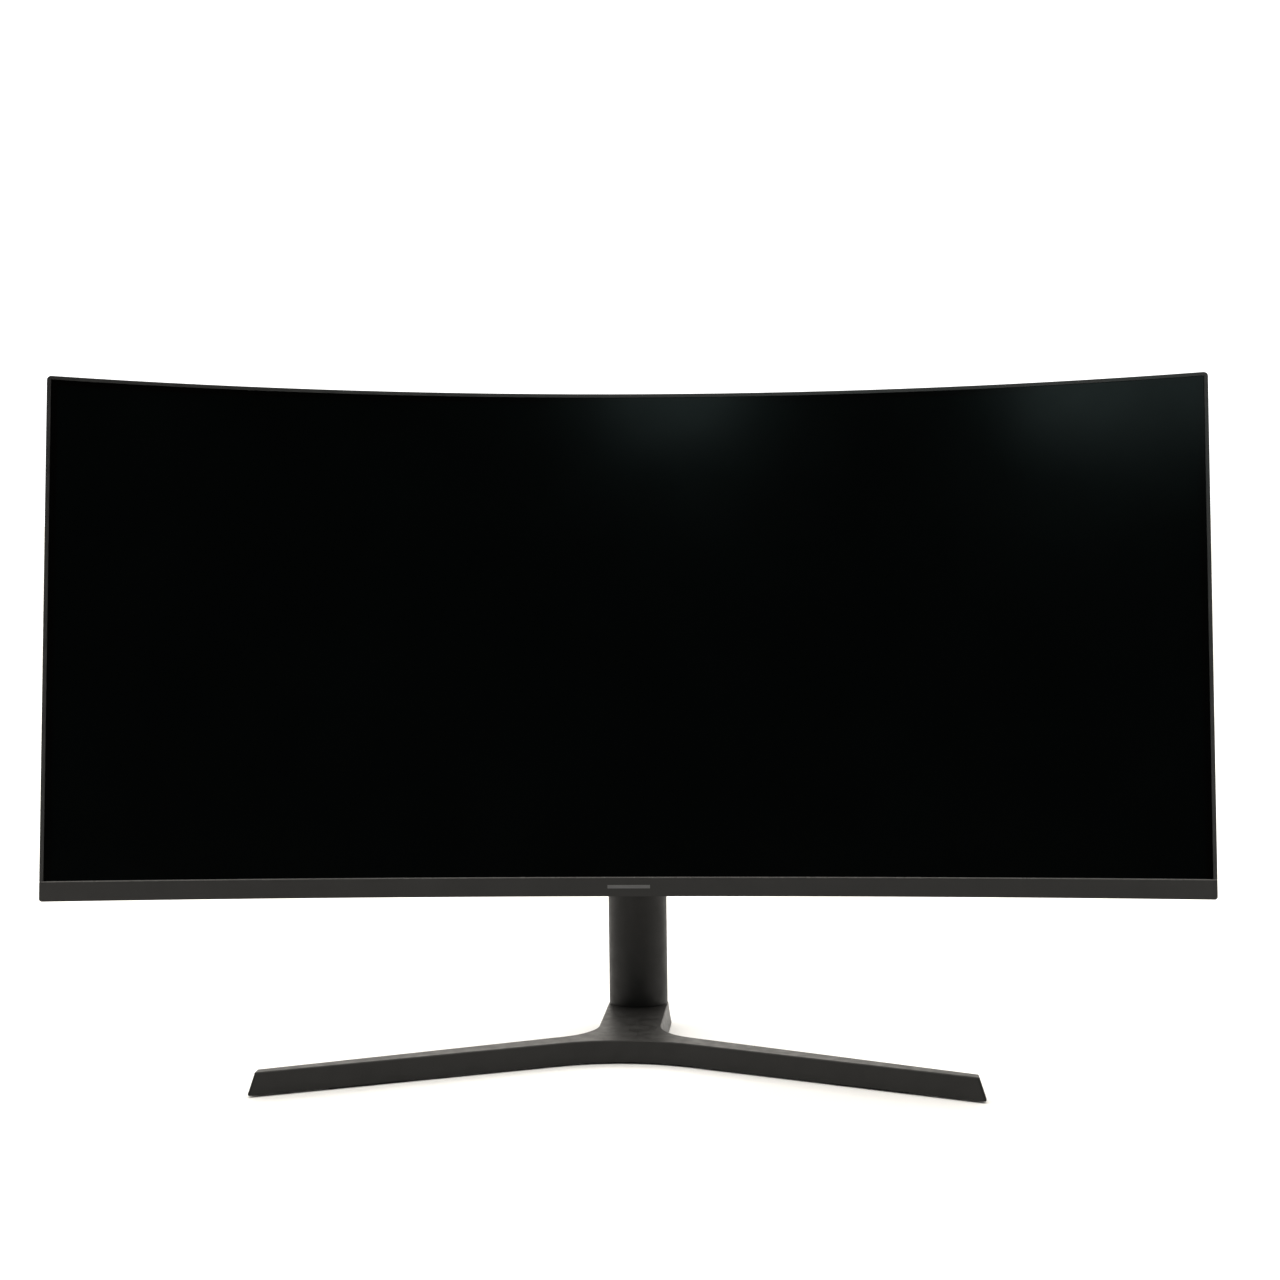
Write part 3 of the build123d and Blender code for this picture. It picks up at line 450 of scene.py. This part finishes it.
def chin_bead(made):
    """Rounded top edge of the chin, which catches the light as a thin line; its lighter colour adds
    a painted highlight.
    """
    height = CHIN_TOP - BEAD_R * 0.6
    line = []
    for i in range(BEAD_STEPS + 1):
        line.append(on_curve(BEAD_HALF * (2 * i / BEAD_STEPS - 1), BEAD_DEPTH, height))
    tube(made, line, BEAD_R)


bead = piece("chin_edge_bead", chin_bead, SCREEN, "display", "chin_plastic")
# The bead's lighter grey is a painted highlight along the chin's top edge, on top of the light its
# rounded shape catches.
bead.data.materials[0] = moulded("chin_edge", (0.066, 0.065, 0.064), 0.26, 0.0006, 0.00001)


LATCH_LOW, LATCH_HIGH, LATCH_DEPTH = -0.0934, -0.0761, 0.035
LATCH_COIL_R = 0.0026
LATCH_WIRE_R = 0.0004
LATCH_TURNS = 9
LATCH_STEPS = LATCH_TURNS * 20
# The closed turn at each end takes this share of the wire.
LATCH_CLOSED = 0.1


def latch_coil(made):
    """Wire spring under the release button, with a closed turn at each end."""
    room = LATCH_HIGH - LATCH_LOW - LATCH_WIRE_R * 6
    line = []
    for i in range(LATCH_STEPS + 1):
        share = i / LATCH_STEPS
        rise = min(max((share - LATCH_CLOSED) / (1 - 2 * LATCH_CLOSED), 0.0), 1.0)
        first_turn = LATCH_WIRE_R * 2 * min(share, LATCH_CLOSED) / LATCH_CLOSED
        last_turn = LATCH_WIRE_R * 2 * max(share - (1 - LATCH_CLOSED), 0.0) / LATCH_CLOSED
        high = LATCH_LOW + LATCH_WIRE_R + first_turn + rise * room + last_turn
        around = 2 * math.pi * LATCH_TURNS * share
        across = LATCH_COIL_R * math.cos(around)
        deep = LATCH_DEPTH + LATCH_COIL_R * math.sin(around)
        line.append(Vector((across, deep, high)))
    tube(made, line, LATCH_WIRE_R)


BAND_TOP, BAND_FOOT = 0.381, 0.3175
BAND_STEPS = 40
BAND_COLUMNS = 6
BAND_THICK = 0.00018
BAND_DISH = 0.00012


def lift_strip(made):
    """The lift spring's steel strip between its spool and the carriage, a little dished across."""
    low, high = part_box("spring_band")
    half = (high.x - low.x) / 2
    rows = []
    for i in range(BAND_STEPS + 1):
        height = BAND_TOP + (BAND_FOOT - BAND_TOP) * i / BAND_STEPS
        row = []
        for k in range(BAND_COLUMNS + 1):
            side = 2 * k / BAND_COLUMNS - 1
            row.append((side * half, BAND_DISH * (1 - side * side), height))
        rows.append(row)
    skins = []
    for depth in (low.y, low.y + BAND_THICK):
        skins.append([[made.verts.new((x, depth + dish, z)) for x, dish, z in row] for row in rows])
    near, far = skins
    for i in range(BAND_STEPS):
        for k in range(BAND_COLUMNS):
            made.faces.new((near[i][k], near[i][k + 1], near[i + 1][k + 1], near[i + 1][k]))
            made.faces.new((far[i][k], far[i + 1][k], far[i + 1][k + 1], far[i][k + 1]))
        made.faces.new((near[i][0], near[i + 1][0], far[i + 1][0], far[i][0]))
        made.faces.new((near[i][-1], far[i][-1], far[i + 1][-1], near[i + 1][-1]))
    for k in range(BAND_COLUMNS):
        made.faces.new((near[0][k], far[0][k], far[0][k + 1], near[0][k + 1]))
        made.faces.new((near[-1][k], near[-1][k + 1], far[-1][k + 1], far[-1][k]))


def strip_across_the_slide():
    """The strip winds on to its spool as the carriage rises; here it is made as a fixed strip that
    rides on neither body.
    """
    strip = piece("lift_strip", lift_strip, UPRIGHT, None, "spring_steel")
    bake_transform(strip)
    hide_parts("spring_band")


strip_across_the_slide()
coil = piece("latch_coil", latch_coil, SCREEN, "display", "spring_steel")
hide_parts("latch_spring")
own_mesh(coil)


# ------------------------------------------------------------------ floor, light and camera
FLOOR_HALF = 30.0


def make_floor():
    """Plain pale floor that reaches past everything the camera sees."""
    data = bpy.data.meshes.new("studio_floor")
    signs = [(-1, -1), (1, -1), (1, 1), (-1, 1)]
    corners = [(x * FLOOR_HALF, y * FLOOR_HALF, 0.0) for x, y in signs]
    data.from_pydata(corners, [], [(0, 1, 2, 3)])
    floor = bpy.data.objects.new("studio_floor", data)
    bpy.context.scene.collection.objects.link(floor)
    m = Nodes("floor_white")
    m.colour(m.mix(m.noise(0.4, 4), (0.90, 0.90, 0.90), (0.93, 0.93, 0.925)))
    m.roughness(m.ramp(m.noise(0.2, 3), 0.8, 0.9))
    m.set(Specular_IOR_Level=0.1)
    data.materials.append(m.material)


# Strength of the surroundings on each side, and where each one fades in along its direction.
FRONT_LIGHT, BACK_LIGHT, BACK_FADE = 0.07, 1.5, (-0.2, 1.0)
ZENITH_LIGHT, ZENITH_FADE = 1.9, (0.5, 0.8)
SIDE_LIGHT, SIDE_FADE = 0.55, (0.8, 0.97)
SKY_TINT = (1.0, 0.955, 0.885, 1.0)
WHITE = (1.0, 1.0, 1.0, 1.0)


def make_world():
    """White surroundings: bright overhead and behind, softer at the sides, and dim in front.

    The dim front keeps the panel black. The camera itself sees plain white.
    """
    world = bpy.data.worlds.new("studio")
    bpy.context.scene.world = world
    world.use_nodes = True
    tree = world.node_tree
    background = next(n for n in tree.nodes if n.type == "BACKGROUND")
    where = tree.nodes.new("ShaderNodeTexCoord")
    parts = tree.nodes.new("ShaderNodeSeparateXYZ")
    tree.links.new(where.outputs["Generated"], parts.inputs[0])

    def graded(source, fade, low, high):
        node = tree.nodes.new("ShaderNodeMapRange")
        node.interpolation_type = "SMOOTHSTEP"
        node.inputs["From Min"].default_value, node.inputs["From Max"].default_value = fade
        node.inputs["To Min"].default_value = low
        node.inputs["To Max"].default_value = high
        tree.links.new(source, node.inputs["Value"])
        return node.outputs["Result"]

    def joined(operation, first, second):
        node = tree.nodes.new("ShaderNodeMath")
        node.operation = operation
        tree.links.new(first, node.inputs[0])
        tree.links.new(second, node.inputs[1])
        return node.outputs[0]

    around = graded(parts.outputs["Y"], BACK_FADE, FRONT_LIGHT, BACK_LIGHT)
    overhead = graded(parts.outputs["Z"], ZENITH_FADE, 0.0, ZENITH_LIGHT)
    sideways = tree.nodes.new("ShaderNodeMath")
    sideways.operation = "ABSOLUTE"
    tree.links.new(parts.outputs["X"], sideways.inputs[0])
    flanks = graded(sideways.outputs[0], SIDE_FADE, 0.0, SIDE_LIGHT)
    path = tree.nodes.new("ShaderNodeLightPath")
    lit = joined("ADD", joined("ADD", around, flanks), overhead)
    seen = joined("MAXIMUM", lit, path.outputs["Is Camera Ray"])
    tree.links.new(seen, background.inputs["Strength"])
    tint = tree.nodes.new("ShaderNodeMix")
    tint.data_type = "RGBA"
    tint.inputs[MIX_FIRST].default_value = SKY_TINT
    tint.inputs[MIX_SECOND].default_value = WHITE
    tree.links.new(path.outputs["Is Camera Ray"], tint.inputs[0])
    tree.links.new(tint.outputs[MIX_RESULT], background.inputs["Color"])


def softbox(name, location, target, width, depth, power, colour=(1.0, 1.0, 1.0)):
    """Rectangular lamp at a place, turned to its target; width and depth in metres."""
    data = bpy.data.lights.new(name, "AREA")
    data.color = colour
    data.shape = "RECTANGLE"
    data.size = width
    data.size_y = depth
    data.energy = power
    light = bpy.data.objects.new(name, data)
    light.location = location
    aim = Vector(target) - Vector(location)
    light.rotation_euler = aim.to_track_quat("-Z", "Y").to_euler()
    bpy.context.scene.collection.objects.link(light)


# The photograph's viewpoint: position in metres, angles in degrees, lens in millimetres.
CAMERA_AT = (0.14156, -1.78979, 0.40446)
CAMERA_HEADING, CAMERA_DIP, CAMERA_ROLL = 4.39, 3.58, -0.67
CAMERA_LENS = 67.37


def make_camera():
    """Camera at the photograph's viewing angle."""
    data = bpy.data.cameras.new("photo_camera")
    data.sensor_width = 36.0
    data.lens = CAMERA_LENS
    data.clip_end = 100.0
    camera = bpy.data.objects.new("photo_camera", data)
    heading = Matrix.Rotation(math.radians(CAMERA_HEADING), 4, "Z")
    pitch = Matrix.Rotation(math.radians(90.0 - CAMERA_DIP), 4, "X")
    roll = Matrix.Rotation(math.radians(CAMERA_ROLL), 4, "Z")
    camera.matrix_world = Matrix.Translation(CAMERA_AT) @ heading @ pitch @ roll
    bpy.context.scene.collection.objects.link(camera)
    bpy.context.scene.camera = camera


GLOW_REACH = 2.6
GLOW_COLOUR = (0.72, 1.0, 0.98)


def glow(name, x, z, size, power):
    """Small soft lamp that the film mirrors to the camera at one spot on the screen."""
    turn = math.asin(x / CURVE_R)
    spot = SCREEN @ Vector((x, math.cos(turn) * CURVE_R - CURVE_R, z))
    facing = (SCREEN.to_3x3() @ Vector((-math.sin(turn), -math.cos(turn), 0.0))).normalized()
    seen_from = (spot - Vector(CAMERA_AT)).normalized()
    away = seen_from.reflect(facing)
    softbox(name, spot + away * GLOW_REACH, spot, size, size, power, GLOW_COLOUR)


make_floor()
make_world()
softbox("overhead", (0.0, 0.5, 2.3), (0.0, 0.1, 0.0), 3.4, 2.6, 30.0)
glow("glow_middle", 0.035, 0.204, 0.22, 0.8)
glow("glow_right", 0.335, 0.214, 0.34, 1.5)
make_camera()
bpy.context.scene.view_settings.view_transform = "Standard"
